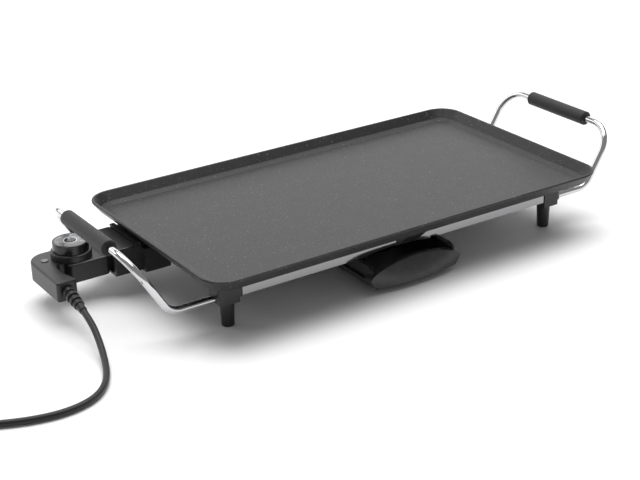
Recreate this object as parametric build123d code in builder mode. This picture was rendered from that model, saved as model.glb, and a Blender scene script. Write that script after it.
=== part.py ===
"""Electric griddle with a plug-in thermostat control and a pull-out drip tray.

Units are millimetres.  +Z is up and z = 0 is the surface the feet stand on, +X runs
along the plate and -Y is the front, where the drip tray pulls out.
The origin is at the bottom centre of the appliance's own box, without its mains lead.
"""

from build123d import *
from math import cos, pi, radians, sin, tan
import os

os.makedirs("parts", exist_ok=True)

# ------------------------------------------------------------------ driving dimensions

# cooking plate
plate_length = 460.0
plate_width = 260.0
plate_corner_radius = 25.0
rim_height = 67.0  # rim top above the table
plate_depth = 12.5  # rim top to underside
rim_thickness = 2.4
wall_flare = 8.0  # how far the outer wall leans out from underside to rim
ledge_inset = 9.2  # foot of the inner wall, measured from the rim's outer edge
ledge_depth = 8.4
ledge_width = 1.2
gutter_inset = 17.0  # where the gutter slope meets the flat floor
floor_depth = 10.4

# heat reflector pan under the plate
reflector_length = 390.0
reflector_width = 190.0
reflector_depth = 22.4
sheet_thickness = 1.0

# feet
foot_dx = 191.5  # leg axes, from the plate's centre
foot_dy = 83.7
leg_bottom_radius = 6.0
leg_top_radius = 7.0
foot_outer_dx = 205.0
foot_block_width = 23.0
foot_lip_height = 31.0
foot_tier_height = 25.0

# handles
rod_diameter = 7.0
rod_height = 30.0  # rod centre line where it enters the feet
handle_reach = 284.8  # rod centre line under the grip, from the plate's centre
handle_height = 87.3
handle_knee_dx = 250.0
knee_radius = 20.0
shoulder_radius = 28.0
grip_length = 87.0
grip_diameter = 15.0

# connector shroud and the axis the control plugs in along
port_y = 51.0
port_height = 39.0
pin_half_spacing = 10.0
shroud_outer_dx = 250.0
shroud_half_width = 28.5
shroud_wall = 4.5
shroud_top = 51.0
shroud_bottom = 23.7

# control (thermostat) case
control_outer_dx = 318.0
control_front_y = 4.0
control_back_y = 78.0
control_top = 43.0
control_bottom = 23.5
control_seam = 34.0
control_wall = 2.0
arm_half_width = 17.5
knob_dx = 280.0
knob_offset_y = 3.5  # knob axis, behind the axis of the connector
knob_radius = 17.4
knob_height = 8.8
dial_ring_radius = 19.6
dial_ring_height = 7.0
probe_radius = 2.5
probe_tip_dx = 135.0
pin_radius = 2.0

# drip tray
tray_base_half_width = 48.5
tray_bulge_half_width = 53.5
tray_side_half_width = 50.0
tray_floor = 7.0
tray_bulge_height = 16.5
tray_side_height = 27.6
tray_crest_height = 28.0
tray_front_y = -121.6
tray_back_y = -28.0
tray_wall = 2.2

# mains lead
cord_diameter = 6.3
coil_mean_radius = 35.0
coil_rows = 2
coil_layers = 2

# clearances
seat_gap = 0.3  # faces that sit on each other without being joined
screw_gap = 0.1  # on the radius, screw in its hole
slide_gap = 0.2  # on the radius, pieces that slide or turn in each other

# ------------------------------------------------------------------ derived places

plate_x = (control_outer_dx - handle_reach - grip_diameter / 2) / 2
under_z = rim_height - plate_depth
reflector_top = under_z - seat_gap
reflector_bottom = reflector_top - reflector_depth
reflector_floor = reflector_bottom + sheet_thickness
port_x = plate_x - reflector_length / 2
left = -1
right = 1


def save(builder, name):
    """Label a finished piece and write it to its own STEP file."""
    builder.part.label = name
    export_step(builder.part, f"parts/{name}.step")


# ------------------------------------------------------------------ cooking plate

foot_screw_radius = 2.0
foot_boss_radius = 5.0
foot_boss_drop = 8.5
pan_screw_radius = 1.5
pan_boss_radius = 4.0
pan_screw_dx = 140.0
pan_screw_dy = 79.0
drain_y = -plate_width / 2 + (ledge_inset + gutter_inset) / 2 + 1.0
drain_length = 18.0
drain_width = 5.0


def plate_outline(inset):
    """Rounded rectangle a given distance inside the rim's outer edge."""
    return RectangleRounded(
        plate_length - 2 * inset,
        plate_width - 2 * inset,
        plate_corner_radius - inset,
    )


rim_band = 2.0
with BuildPart() as griddle_plate:
    with BuildSketch(Plane((plate_x, 0, under_z))):
        plate_outline(wall_flare)
    with BuildSketch(Plane((plate_x, 0, rim_height - rim_band))):
        plate_outline(0)
    loft()
    with BuildSketch(Plane((plate_x, 0, rim_height - rim_band))):
        plate_outline(0)
    extrude(amount=rim_band)
    # inner wall, from the rim down to a narrow ledge
    with BuildSketch(Plane((plate_x, 0, rim_height))):
        plate_outline(rim_thickness)
    with BuildSketch(Plane((plate_x, 0, rim_height - ledge_depth))):
        plate_outline(ledge_inset)
    loft(mode=Mode.SUBTRACT)
    # gutter slope from the ledge to the cooking floor
    with BuildSketch(Plane((plate_x, 0, rim_height - ledge_depth))):
        plate_outline(ledge_inset + ledge_width)
    with BuildSketch(Plane((plate_x, 0, rim_height - floor_depth))):
        plate_outline(gutter_inset)
    loft(mode=Mode.SUBTRACT)
    rim_edges = griddle_plate.edges().group_by(Axis.Z)[-1]
    fillet(rim_edges, radius=0.9)
    # screw bosses under the plate
    with BuildSketch(Plane((plate_x, 0, under_z))):
        with GridLocations(2 * foot_dx, 2 * foot_dy, 2, 2):
            Circle(foot_boss_radius)
    extrude(amount=-foot_boss_drop)
    with BuildSketch(Plane((plate_x, 0, under_z))):
        with GridLocations(2 * pan_screw_dx, 2 * pan_screw_dy, 2, 2):
            Circle(pan_boss_radius)
    extrude(amount=reflector_floor - under_z + seat_gap)
    with BuildSketch(Plane((plate_x, 0, under_z - foot_boss_drop))):
        with GridLocations(2 * foot_dx, 2 * foot_dy, 2, 2):
            Circle(foot_screw_radius + screw_gap)
    extrude(amount=foot_boss_drop - 1, mode=Mode.SUBTRACT)
    with BuildSketch(Plane((plate_x, 0, reflector_floor))):
        with GridLocations(2 * pan_screw_dx, 2 * pan_screw_dy, 2, 2):
            Circle(pan_screw_radius + screw_gap)
    extrude(amount=under_z - reflector_floor - 2, mode=Mode.SUBTRACT)
    # drain slot through the gutter, above the drip tray
    with BuildSketch(Plane((plate_x, drain_y, under_z - 1))):
        SlotOverall(drain_length, drain_width)
    extrude(amount=plate_depth, mode=Mode.SUBTRACT)
save(griddle_plate, "griddle_plate")

# chute that leads the fat from the drain slot back into the tray
chute_width = drain_length + 6
chute_sheet = 1.2
chute_lip_y = -reflector_width / 2 - 5.5
chute_lip_z = 37.0
chute_front_y = drain_y - drain_width / 2 - 1.5
with BuildPart() as drain_chute:
    with BuildSketch(Plane.YZ.offset(plate_x - chute_width / 2)):
        with BuildLine():
            Polyline(
                (chute_front_y, under_z - seat_gap),
                (chute_lip_y, chute_lip_z),
                (chute_lip_y, under_z - seat_gap),
                close=True,
            )
        make_face()
    extrude(amount=chute_width)
    with BuildSketch(Plane.YZ.offset(plate_x - chute_width / 2 + chute_sheet)):
        with BuildLine():
            Polyline(
                (chute_front_y + 2 * chute_sheet, under_z),
                (chute_lip_y + 2 * chute_sheet, chute_lip_z),
                (chute_lip_y + 2 * chute_sheet, under_z),
                close=True,
            )
        make_face()
    extrude(amount=chute_width - 2 * chute_sheet, mode=Mode.SUBTRACT)
save(drain_chute, "drain_chute")

# ------------------------------------------------------------------ heating element

element_radius = 3.25
element_z = under_z - element_radius - 0.1
element_far_dx = 165.0
cold_end_x = plate_x - 206.0
rise_x = port_x + 14.0
upper_row = port_y + pin_half_spacing
lower_row = port_y - pin_half_spacing
element_rows = (22.0, -20.0, -61.0)
inner_turn_dx = 115.0
element_route = [
    (cold_end_x, upper_row, port_height),
    (rise_x, upper_row, port_height),
    (rise_x + 18, upper_row, element_z),
    (plate_x + element_far_dx, upper_row, element_z),
    (plate_x + element_far_dx, element_rows[0], element_z),
    (plate_x - inner_turn_dx, element_rows[0], element_z),
    (plate_x - inner_turn_dx, element_rows[1], element_z),
    (plate_x + element_far_dx, element_rows[1], element_z),
    (plate_x + element_far_dx, element_rows[2], element_z),
    (rise_x + 18 + 14, element_rows[2], element_z),
    (rise_x + 18 + 14, lower_row, element_z),
    (rise_x + 16, lower_row, port_height),
    (cold_end_x, lower_row, port_height),
]
element_bends = [9, 9] + [15] * 7 + [9, 9]
with BuildPart() as heating_element:
    with BuildLine() as element_path:
        FilletPolyline(*element_route, radius=element_bends)
    with BuildSketch(Plane(element_path.line @ 0, z_dir=element_path.line % 0)):
        Circle(element_radius)
    sweep()
save(heating_element, "heating_element")

# saddle clamps that hold the element against the plate
clamp_sheet = 1.0
clamp_length = 10.0
clamp_wing = 12.0
clamp_places = [
    (plate_x + dx, y) for dx in (-60.0, 80.0) for y in (upper_row, *element_rows)
]
with BuildPart() as element_clamps:
    for clamp_x, clamp_y in clamp_places:
        with BuildSketch(Plane.YZ.offset(clamp_x)):
            with Locations((clamp_y, element_z)):
                Circle(element_radius + 0.1 + clamp_sheet)
            with Locations((clamp_y, under_z - 0.05 - clamp_sheet / 2)):
                Rectangle(2 * clamp_wing, clamp_sheet)
            with Locations((clamp_y, element_z)):
                Circle(element_radius + 0.1, mode=Mode.SUBTRACT)
            with Locations((clamp_y, under_z + 5 - 0.05)):
                Rectangle(2 * clamp_wing, 10, mode=Mode.SUBTRACT)
        extrude(amount=clamp_length)
save(element_clamps, "element_clamps")

# aluminium block that takes the sensing probe and touches the plate
sensor_block_near = port_x + 6.0
sensor_block_length = 50.0
sensor_half_width = 5.5
with BuildPart() as sensor_block:
    with Locations((sensor_block_near + sensor_block_length / 2, port_y, 0)):
        with Locations((0, 0, under_z - 0.05)):
            Box(
                sensor_block_length,
                2 * sensor_half_width,
                under_z - port_height + sensor_half_width,
                align=(Align.CENTER, Align.CENTER, Align.MAX),
            )
    with BuildSketch(Plane.YZ.offset(sensor_block_near - 1)):
        with Locations((port_y, port_height)):
            Circle(probe_radius + slide_gap)
    extrude(amount=sensor_block_length + 2, mode=Mode.SUBTRACT)
save(sensor_block, "sensor_block")

# ------------------------------------------------------------------ heat reflector

insulator_radius = 4.2
notch_clearance = 1.0
notch_dx = foot_outer_dx - foot_block_width - notch_clearance
foot_block_half_depth = 12.0
notch_dy = foot_dy - foot_block_half_depth - notch_clearance


def reflector_outline(inset):
    """Plan of the pan: a rectangle with its four corners cut out for the feet."""
    Rectangle(reflector_length - 2 * inset, reflector_width - 2 * inset)
    notch_x = reflector_length / 2 - notch_dx
    notch_y = reflector_width / 2 - notch_dy
    with GridLocations(reflector_length - notch_x, reflector_width - notch_y, 2, 2):
        Rectangle(notch_x + 2 * inset, notch_y + 2 * inset, mode=Mode.SUBTRACT)


with BuildPart() as heat_reflector:
    with BuildSketch(Plane((plate_x, 0, reflector_bottom))):
        reflector_outline(0)
    extrude(amount=reflector_depth)
    with BuildSketch(Plane((plate_x, 0, reflector_floor))):
        reflector_outline(sheet_thickness)
    extrude(amount=reflector_depth, mode=Mode.SUBTRACT)
    with BuildSketch(Plane((plate_x, 0, reflector_bottom))):
        with GridLocations(2 * pan_screw_dx, 2 * pan_screw_dy, 2, 2):
            Circle(pan_screw_radius + screw_gap)
    extrude(amount=sheet_thickness, mode=Mode.SUBTRACT)
    with BuildSketch(Plane.YZ.offset(port_x - 2)):
        for row in (lower_row, upper_row):
            with Locations((row, port_height)):
                Circle(insulator_radius + screw_gap)
        with Locations((port_y, port_height)):
            Circle(probe_radius + 1)
    extrude(amount=5, mode=Mode.SUBTRACT)
save(heat_reflector, "heat_reflector")

# screws that hold the pan to the plate's bosses
pan_screw_head_radius = 3.2
pan_screw_head = 1.8
pan_screw_length = 14.0
with BuildPart() as reflector_screws:
    with BuildSketch(Plane((plate_x, 0, reflector_bottom))):
        with GridLocations(2 * pan_screw_dx, 2 * pan_screw_dy, 2, 2):
            Circle(pan_screw_head_radius)
    extrude(amount=-pan_screw_head)
    fillet(reflector_screws.edges().group_by(Axis.Z)[0], radius=0.8)
    with BuildSketch(Plane((plate_x, 0, reflector_bottom))):
        with GridLocations(2 * pan_screw_dx, 2 * pan_screw_dy, 2, 2):
            Circle(pan_screw_radius)
    extrude(amount=pan_screw_length)
    with BuildSketch(Plane((plate_x, 0, reflector_bottom - pan_screw_head))):
        with GridLocations(2 * pan_screw_dx, 2 * pan_screw_dy, 2, 2):
            Rectangle(4.0, 0.8)
            Rectangle(0.8, 4.0)
    extrude(amount=1.0, mode=Mode.SUBTRACT)
save(reflector_screws, "reflector_screws")

# ------------------------------------------------------------------ feet and their screws

foot_collar_radius = 9.5
foot_corner_radius = 5.0
tier_inset = 1.5
leg_bore_radius = 4.1
foot_web_height = 21.0
foot_screw_head_radius = 3.8
foot_screw_head = 3.0
foot_screw_tip = 1.5  # left free above the screw in its boss
rod_bore_radius = rod_diameter / 2 + 0.05
rod_end_dx = foot_dx - 6.5

for name, side_x, side_y in [
    ("foot_front_left", left, -1),
    ("foot_front_right", right, -1),
    ("foot_back_left", left, 1),
    ("foot_back_right", right, 1),
]:
    axis_x = plate_x + side_x * foot_dx
    axis_y = side_y * foot_dy
    block_x = plate_x + side_x * (foot_outer_dx - foot_block_width / 2)
    outer_corners = 0 if side_x == left else -1
    with BuildPart() as foot:
        with BuildSketch(Plane((axis_x, axis_y, 0))):
            Circle(leg_bottom_radius)
        with BuildSketch(Plane((axis_x, axis_y, foot_tier_height))):
            Circle(leg_top_radius)
        loft()
        fillet(foot.edges().group_by(Axis.Z)[0], radius=1.2)
        # lower tier, a little smaller than the block above it
        with BuildSketch(Plane((block_x, axis_y, foot_tier_height))) as tier_plan:
            Rectangle(
                foot_block_width - 2 * tier_inset,
                2 * (foot_block_half_depth - tier_inset),
            )
            fillet(
                tier_plan.vertices().group_by(Axis.X)[outer_corners],
                radius=foot_corner_radius - tier_inset,
            )
            with Locations((axis_x - block_x, 0)):
                Circle(foot_collar_radius - tier_inset)
        extrude(amount=foot_lip_height - foot_tier_height)
        with BuildSketch(Plane((block_x, axis_y, foot_lip_height))) as block_plan:
            Rectangle(foot_block_width, 2 * foot_block_half_depth)
            fillet(
                block_plan.vertices().group_by(Axis.X)[outer_corners],
                radius=foot_corner_radius,
            )
            with Locations((axis_x - block_x, 0)):
                Circle(foot_collar_radius)
        extrude(amount=reflector_top - foot_lip_height)
        # bore for the screw head, screw hole, and pocket for the plate's boss
        with BuildSketch(Plane((axis_x, axis_y, 0))):
            Circle(leg_bore_radius)
        extrude(amount=foot_web_height, mode=Mode.SUBTRACT)
        with BuildSketch(Plane((axis_x, axis_y, 0))):
            Circle(foot_screw_radius + screw_gap)
        extrude(amount=reflector_top, mode=Mode.SUBTRACT)
        with BuildSketch(Plane((axis_x, axis_y, under_z - foot_boss_drop - seat_gap))):
            Circle(foot_boss_radius + seat_gap)
        extrude(amount=plate_depth, mode=Mode.SUBTRACT)
        # blind bore for the end of the handle rod
        with BuildSketch(Plane.YZ.offset(plate_x + side_x * rod_end_dx)):
            with Locations((axis_y, rod_height)):
                Circle(rod_bore_radius)
        extrude(amount=side_x * foot_block_width, mode=Mode.SUBTRACT)
    save(foot, name)

with BuildPart() as foot_screws:
    with BuildSketch(Plane((plate_x, 0, foot_web_height - foot_screw_head))):
        with GridLocations(2 * foot_dx, 2 * foot_dy, 2, 2):
            Circle(foot_screw_head_radius)
    extrude(amount=foot_screw_head)
    fillet(foot_screws.edges().group_by(Axis.Z)[0], radius=1.2)
    with BuildSketch(Plane((plate_x, 0, foot_web_height))):
        with GridLocations(2 * foot_dx, 2 * foot_dy, 2, 2):
            Circle(foot_screw_radius)
    extrude(amount=under_z - 1 - foot_screw_tip - foot_web_height)
    with BuildSketch(Plane((plate_x, 0, foot_web_height - foot_screw_head))):
        with GridLocations(2 * foot_dx, 2 * foot_dy, 2, 2):
            Rectangle(4.6, 0.9)
            Rectangle(0.9, 4.6)
    extrude(amount=1.4, mode=Mode.SUBTRACT)
save(foot_screws, "foot_screws")

# ------------------------------------------------------------------ handles

for side, rod_name, grip_name in [
    (left, "handle_rod_left", "handle_grip_left"),
    (right, "handle_rod_right", "handle_grip_right"),
]:
    rod_start_x = plate_x + side * rod_end_dx
    knee_x = plate_x + side * handle_knee_dx
    top_x = plate_x + side * handle_reach
    rod_route = [
        (rod_start_x, -foot_dy, rod_height),
        (knee_x, -foot_dy, rod_height),
        (top_x, -foot_dy, handle_height),
        (top_x, foot_dy, handle_height),
        (knee_x, foot_dy, rod_height),
        (rod_start_x, foot_dy, rod_height),
    ]
    rod_bends = [knee_radius, shoulder_radius, shoulder_radius, knee_radius]
    with BuildPart() as handle_rod:
        with BuildLine() as rod_path:
            FilletPolyline(*rod_route, radius=rod_bends)
        with BuildSketch(Plane(rod_path.line @ 0, z_dir=rod_path.line % 0)):
            Circle(rod_diameter / 2)
        sweep()
        with BuildSketch(Plane((plate_x + side * foot_dx, 0, 0))):
            with GridLocations(1, 2 * foot_dy, 1, 2):
                Circle(foot_screw_radius + screw_gap)
        extrude(amount=2 * rod_height, mode=Mode.SUBTRACT)
    save(handle_rod, rod_name)

    with BuildPart() as handle_grip:
        with BuildSketch(Plane.XZ.offset(-grip_length / 2)):
            with Locations((top_x, handle_height)):
                Circle(grip_diameter / 2)
                Circle(rod_diameter / 2 + 0.05, mode=Mode.SUBTRACT)
        extrude(amount=grip_length)
        fillet(
            handle_grip.edges()
            .filter_by(GeomType.CIRCLE)
            .filter_by(lambda edge: edge.radius > rod_diameter),
            radius=1.2,
        )
    save(handle_grip, grip_name)

# ------------------------------------------------------------------ connector shroud

shroud_outer_x = plate_x - shroud_outer_dx
shroud_inner_x = port_x - seat_gap
shroud_front_y = port_y - shroud_half_width
shroud_back_y = port_y + shroud_half_width
shroud_base_x = plate_x - plate_length / 2 + wall_flare
shroud_base_front_y = shroud_front_y - 7.0
shroud_end_wall = 8.5
shroud_cavity_end_x = shroud_inner_x - shroud_end_wall
shroud_skin = 2.5
shroud_notch_y = foot_dy - foot_block_half_depth - notch_clearance
shroud_screw_rows = (shroud_front_y + 4.0, shroud_notch_y - 4.0)
ridge_width = 5.0
ridge_top = under_z - 1.3
ridge_x = shroud_base_x - ridge_width / 2
shroud_screw_height = 47.0
shroud_thread_depth = 2.5
with BuildPart() as connector_shroud:
    with Locations((shroud_outer_x, port_y, shroud_bottom)):
        Box(
            shroud_inner_x - shroud_outer_x,
            2 * shroud_half_width,
            shroud_top - shroud_bottom,
            align=(Align.MIN, Align.CENTER, Align.MIN),
        )
    fillet(connector_shroud.edges().filter_by(Axis.X), radius=1.5)
    fillet(connector_shroud.faces().sort_by(Axis.X)[0].outer_wire().edges(), radius=0.6)
    # wider base against the pan
    with Locations((shroud_base_x, shroud_base_front_y, shroud_bottom)):
        Box(
            shroud_inner_x - shroud_base_x,
            shroud_back_y - shroud_base_front_y,
            shroud_top - shroud_bottom - 3.0,
            align=(Align.MIN, Align.MIN, Align.MIN),
        )
    # ridge beside the plate, with a groove next to it
    with Locations((ridge_x, port_y, shroud_top)):
        Box(
            ridge_width,
            2 * shroud_half_width,
            ridge_top - shroud_top,
            align=(Align.CENTER, Align.CENTER, Align.MIN),
        )
    with Locations((ridge_x - ridge_width / 2 - 0.8, port_y, shroud_top)):
        Box(1.6, 2 * shroud_half_width, 3.0, mode=Mode.SUBTRACT)
    # the cavity that the control's nose goes into
    with Locations((shroud_cavity_end_x, shroud_front_y + shroud_wall, 0)):
        with Locations((0, 0, shroud_bottom + shroud_skin)):
            Box(
                shroud_cavity_end_x - shroud_outer_x + 1,
                shroud_notch_y - shroud_skin - shroud_front_y - shroud_wall,
                shroud_top - shroud_bottom - 2 * shroud_skin,
                align=(Align.MAX, Align.MIN, Align.MIN),
                mode=Mode.SUBTRACT,
            )
    # corner cut out for the foot
    with Locations((plate_x - foot_outer_dx - notch_clearance, shroud_notch_y, 0)):
        Box(
            foot_block_width,
            foot_block_width,
            2 * rim_height,
            align=(Align.MIN, Align.MIN, Align.CENTER),
            mode=Mode.SUBTRACT,
        )
    # passages for the two terminals and the probe
    with BuildSketch(Plane.YZ.offset(shroud_cavity_end_x - 1)):
        for row in (lower_row, upper_row):
            with Locations((row, port_height)):
                Circle(insulator_radius + screw_gap)
        with Locations((port_y, port_height)):
            Circle(probe_radius + 1)
    extrude(amount=shroud_end_wall + 2, mode=Mode.SUBTRACT)
    # screw holes from the pan side
    with BuildSketch(Plane.YZ.offset(shroud_inner_x - shroud_end_wall + 2)):
        for screw_y in shroud_screw_rows:
            with Locations((screw_y, shroud_screw_height)):
                Circle(pan_screw_radius + screw_gap)
    extrude(amount=shroud_end_wall, mode=Mode.SUBTRACT)
save(connector_shroud, "connector_shroud")

with BuildPart() as terminal_insulators:
    with BuildSketch(Plane.YZ.offset(shroud_cavity_end_x)):
        for row in (lower_row, upper_row):
            with Locations((row, port_height)):
                Circle(insulator_radius)
                Circle(element_radius + 0.05, mode=Mode.SUBTRACT)
    extrude(amount=shroud_end_wall + sheet_thickness + 2)
save(terminal_insulators, "terminal_insulators")

pin_length = 30.0
with BuildPart() as terminal_pins:
    with BuildSketch(Plane.YZ.offset(cold_end_x)):
        for row in (lower_row, upper_row):
            with Locations((row, port_height)):
                Circle(pin_radius)
    extrude(amount=-pin_length)
    fillet(terminal_pins.edges().group_by(Axis.X)[0], radius=1.2)
save(terminal_pins, "terminal_pins")

with BuildPart() as shroud_screws:
    for screw_y in shroud_screw_rows:
        with BuildSketch(Plane.YZ.offset(shroud_inner_x)):
            with Locations((screw_y, shroud_screw_height)):
                Circle(pan_screw_radius)
        extrude(amount=-(shroud_end_wall - shroud_thread_depth))
save(shroud_screws, "shroud_screws")

# ------------------------------------------------------------------ drip tray

tray_ledge_width = 1.6
tray_trench = 3.0
tray_lip = 3.0
tray_lip_drop = 2.2
tray_panel_back_y = tray_front_y + 14.0
tray_belly = 1.6  # bulge of the panel in side view
tray_nose_slope = 13.0
tray_corner_radius = 3.6  # lower corners of the front panel
tray_end_y = -115.8  # where the front panel meets the sides, at the table end
tray_slope = 9.0  # how far the middle of the panel leans back to its crest
tray_back_wall_height = 22.0

tray_skirt_setback = 0.6  # how far the side skirts lie inside the front panel
tray_side_setback = 3.0  # gap from the panel's ends back to the side walls
side_profile = [
    (tray_base_half_width - 1.2, tray_floor),
    (tray_bulge_half_width - tray_skirt_setback, tray_bulge_height - tray_skirt_setback),
    (tray_bulge_half_width - tray_ledge_width, tray_bulge_height - tray_skirt_setback),
    (tray_side_half_width, tray_bulge_height - tray_trench),
    (tray_side_half_width, tray_side_height),
    (tray_side_half_width - tray_wall - tray_lip, tray_side_height),
    (tray_side_half_width - tray_wall - tray_lip, tray_side_height - tray_lip_drop),
    (tray_side_half_width - tray_wall, tray_side_height - tray_lip_drop),
    (tray_side_half_width - tray_wall, tray_floor + tray_wall),
]


def panel_section(share, shift):
    """Closed Y-Z section of the front panel, leaning back most in the middle."""
    foot_y = tray_front_y + (tray_end_y - tray_front_y) * share**2
    crest_y = foot_y + tray_slope * (1 - share**2)
    belly_y = (foot_y + crest_y) / 2 - tray_belly
    station = Plane(
        (plate_x + share * tray_bulge_half_width, shift, 0),
        x_dir=(0, 1, 0),
        z_dir=(1, 0, 0),
    )
    with BuildSketch(station) as section:
        with BuildLine():
            lean = ThreePointArc(
                (foot_y, tray_floor),
                (belly_y, (tray_floor + tray_crest_height) / 2),
                (crest_y, tray_crest_height),
            )
            Polyline(
                lean @ 1,
                (tray_panel_back_y, tray_crest_height),
                (tray_panel_back_y, tray_floor),
                lean @ 0,
            )
        make_face()
    return section.sketch


def panel_outline(inset):
    """Front view of the panel: flat foot, bulging ends and an elliptical crest."""
    bulge_x = tray_bulge_half_width - inset
    foot_x = tray_base_half_width - inset
    with BuildSketch(Plane((plate_x, 0, 0), x_dir=(1, 0, 0), z_dir=(0, -1, 0))) as front:
        with Locations((0, tray_bulge_height)):
            Ellipse(bulge_x, tray_crest_height - inset - tray_bulge_height)
            Rectangle(
                2 * bulge_x,
                tray_crest_height,
                align=(Align.CENTER, Align.MAX),
                mode=Mode.SUBTRACT,
            )
        with BuildLine():
            sides = FilletPolyline(
                (-bulge_x, tray_bulge_height),
                (-foot_x, tray_floor + inset),
                (foot_x, tray_floor + inset),
                (bulge_x, tray_bulge_height),
                radius=tray_corner_radius - inset,
            )
            Line(sides @ 1, sides @ 0)
        make_face()
    return front.sketch


def tray_side(side):
    """Cross-section of one side wall: flared skirt, ledge, groove and upright wall."""
    back_plane = Plane((plate_x, tray_back_y, 0), x_dir=(1, 0, 0), z_dir=(0, -1, 0))
    with BuildSketch(back_plane) as profile:
        with BuildLine():
            Polyline(*[(side * x, z) for x, z in side_profile], close=True)
        make_face()
    return profile.sketch


panel_stations = [-1.0, -0.5, 0.0, 0.5, 1.0]
with BuildPart() as panel_hollow:
    loft([panel_section(share, tray_wall) for share in panel_stations])
    extrude(panel_outline(tray_wall), amount=2 * plate_width, mode=Mode.INTERSECT)

with BuildPart() as tray_panel:
    loft([panel_section(share, 0) for share in panel_stations])
    extrude(panel_outline(0), amount=2 * plate_width, mode=Mode.INTERSECT)
    add(panel_hollow.part, mode=Mode.SUBTRACT)

with BuildPart() as drip_tray:
    for side in (left, right):
        extrude(tray_side(side), amount=tray_back_y - tray_end_y - tray_side_setback)
    # the upright walls slope down to the panel at the front
    with BuildSketch(Plane.YZ.offset(plate_x - plate_width / 2)):
        with BuildLine():
            nose = ThreePointArc(
                (tray_end_y + 1, tray_bulge_height + 1),
                (tray_end_y + tray_nose_slope / 3, tray_side_height - 3),
                (tray_end_y + tray_nose_slope, tray_side_height),
            )
            Polyline(
                nose @ 1,
                (tray_end_y + tray_nose_slope, tray_side_height + 1),
                (tray_end_y - 1, tray_side_height + 1),
                (tray_end_y - 1, tray_bulge_height + 1),
                nose @ 0,
            )
        make_face()
    extrude(amount=plate_width, mode=Mode.SUBTRACT)
    # floor and back wall
    with Locations((plate_x, tray_back_y, tray_floor)):
        Box(
            2 * tray_base_half_width - 2,
            tray_back_y - tray_panel_back_y + 4,
            tray_wall,
            align=(Align.CENTER, Align.MAX, Align.MIN),
        )
        Box(
            2 * tray_base_half_width - 2,
            tray_wall,
            tray_back_wall_height - tray_floor,
            align=(Align.CENTER, Align.MAX, Align.MIN),
        )
    add(tray_panel.part)
save(drip_tray, "drip_tray")

# runners under the pan that the tray's lips hang on
rail_sheet = 1.2
rail_web_dx = tray_side_half_width - tray_wall - tray_lip - slide_gap - rail_sheet / 2
rail_hook_z = tray_side_height - tray_lip_drop - slide_gap
rail_front_y = -reflector_width / 2 + 3.0
rail_length = 62.0
rail_foot = 9.0
for side, name in [(left, "tray_rail_left"), (right, "tray_rail_right")]:
    web_x = side * (rail_web_dx - slide_gap)
    foot_x = web_x - side * (rail_foot / 2 - rail_sheet / 2)
    hook_reach = tray_lip + rail_sheet
    hook_x = web_x + side * (hook_reach / 2 - rail_sheet / 2)
    with BuildPart() as tray_rail:
        with BuildSketch(
            Plane((plate_x, rail_front_y, 0), x_dir=(1, 0, 0), z_dir=(0, -1, 0))
        ):
            with Locations((web_x, (reflector_bottom + rail_hook_z - rail_sheet) / 2)):
                Rectangle(rail_sheet, reflector_bottom - rail_hook_z + rail_sheet)
            with Locations((foot_x, reflector_bottom - rail_sheet / 2)):
                Rectangle(rail_foot, rail_sheet)
            with Locations((hook_x, rail_hook_z - rail_sheet / 2)):
                Rectangle(hook_reach, rail_sheet)
        extrude(amount=-rail_length)
        # countersunk holes for two rivets through the foot of the rail
        with Locations((plate_x + foot_x, rail_front_y + rail_length / 2, reflector_bottom)):
            with GridLocations(1, rail_length - 16, 1, 2):
                CounterSinkHole(1.0, 1.6, depth=rail_sheet + 1)
    save(tray_rail, name)

# ------------------------------------------------------------------ plug-in control

control_x = plate_x - control_outer_dx
knob_x = plate_x - knob_dx
knob_y = port_y + knob_offset_y
arm_end_x = shroud_outer_x - 0.8
body_right_x = plate_x - 297.0
waist_x = plate_x - 302.0
arm_root_x = plate_x - 290.5
arm_front_y = port_y - arm_half_width
arm_back_y = port_y + arm_half_width
nose_half_width = 14.5
nose_bottom = 27.0
nose_end_x = shroud_cavity_end_x - 3.0
socket_wall = 0.8
socket_radius = pin_radius + slide_gap


def control_outline(height, inset):
    """L-shaped plan of the case, with the notch between its two limbs."""
    corners = [
        (control_x, control_front_y),
        (body_right_x, control_front_y),
        (waist_x, control_front_y + 20),
        (waist_x, arm_front_y + 2),
        (waist_x + 3, arm_front_y + 10),
        (arm_root_x - 2, arm_front_y + 10),
        (arm_root_x, arm_front_y),
        (arm_end_x, arm_front_y),
        (arm_end_x, arm_back_y),
        (plate_x - 273, arm_back_y),
        (plate_x - 275, control_back_y),
        (control_x, control_back_y),
    ]
    bends = [3.2, 3.0, 20, 6, 2.5, 2.5, 3.2, 3.0, 3.0, 3, 5, 18]
    with BuildSketch(Plane.XY.offset(height)) as plan:
        with BuildLine():
            FilletPolyline(*corners, radius=bends, close=True)
        make_face()
        if inset:
            offset(amount=-inset, mode=Mode.REPLACE)
    return plan.sketch


lamp_x = plate_x - 306.0
lamp_y = 58.0
lamp_radius = 3.6
case_screw_radius = 1.3
case_screw_places = [
    (plate_x - 309.5, 13.0),
    (plate_x - 308.0, 69.5),
    (plate_x - 264.0, arm_front_y + 4.4),
    (plate_x - 264.0, arm_back_y - 4.4),
]
post_radius = 3.0
relief_x = plate_x - 308.0
relief_z = 33.5
relief_drop = 14.0  # degrees that the relief points down
relief_neck_radius = 4.7
relief_length = 32.0
relief_hole_radius = relief_neck_radius + 0.6
relief_hole_rise = 0.25  # the leaning neck crosses the wall a little higher inside
case_screw_head_radius = 2.4
case_screw_head = 2.2
lamp_stem_radius = 2.7
shaft_radius = 3.0

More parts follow.
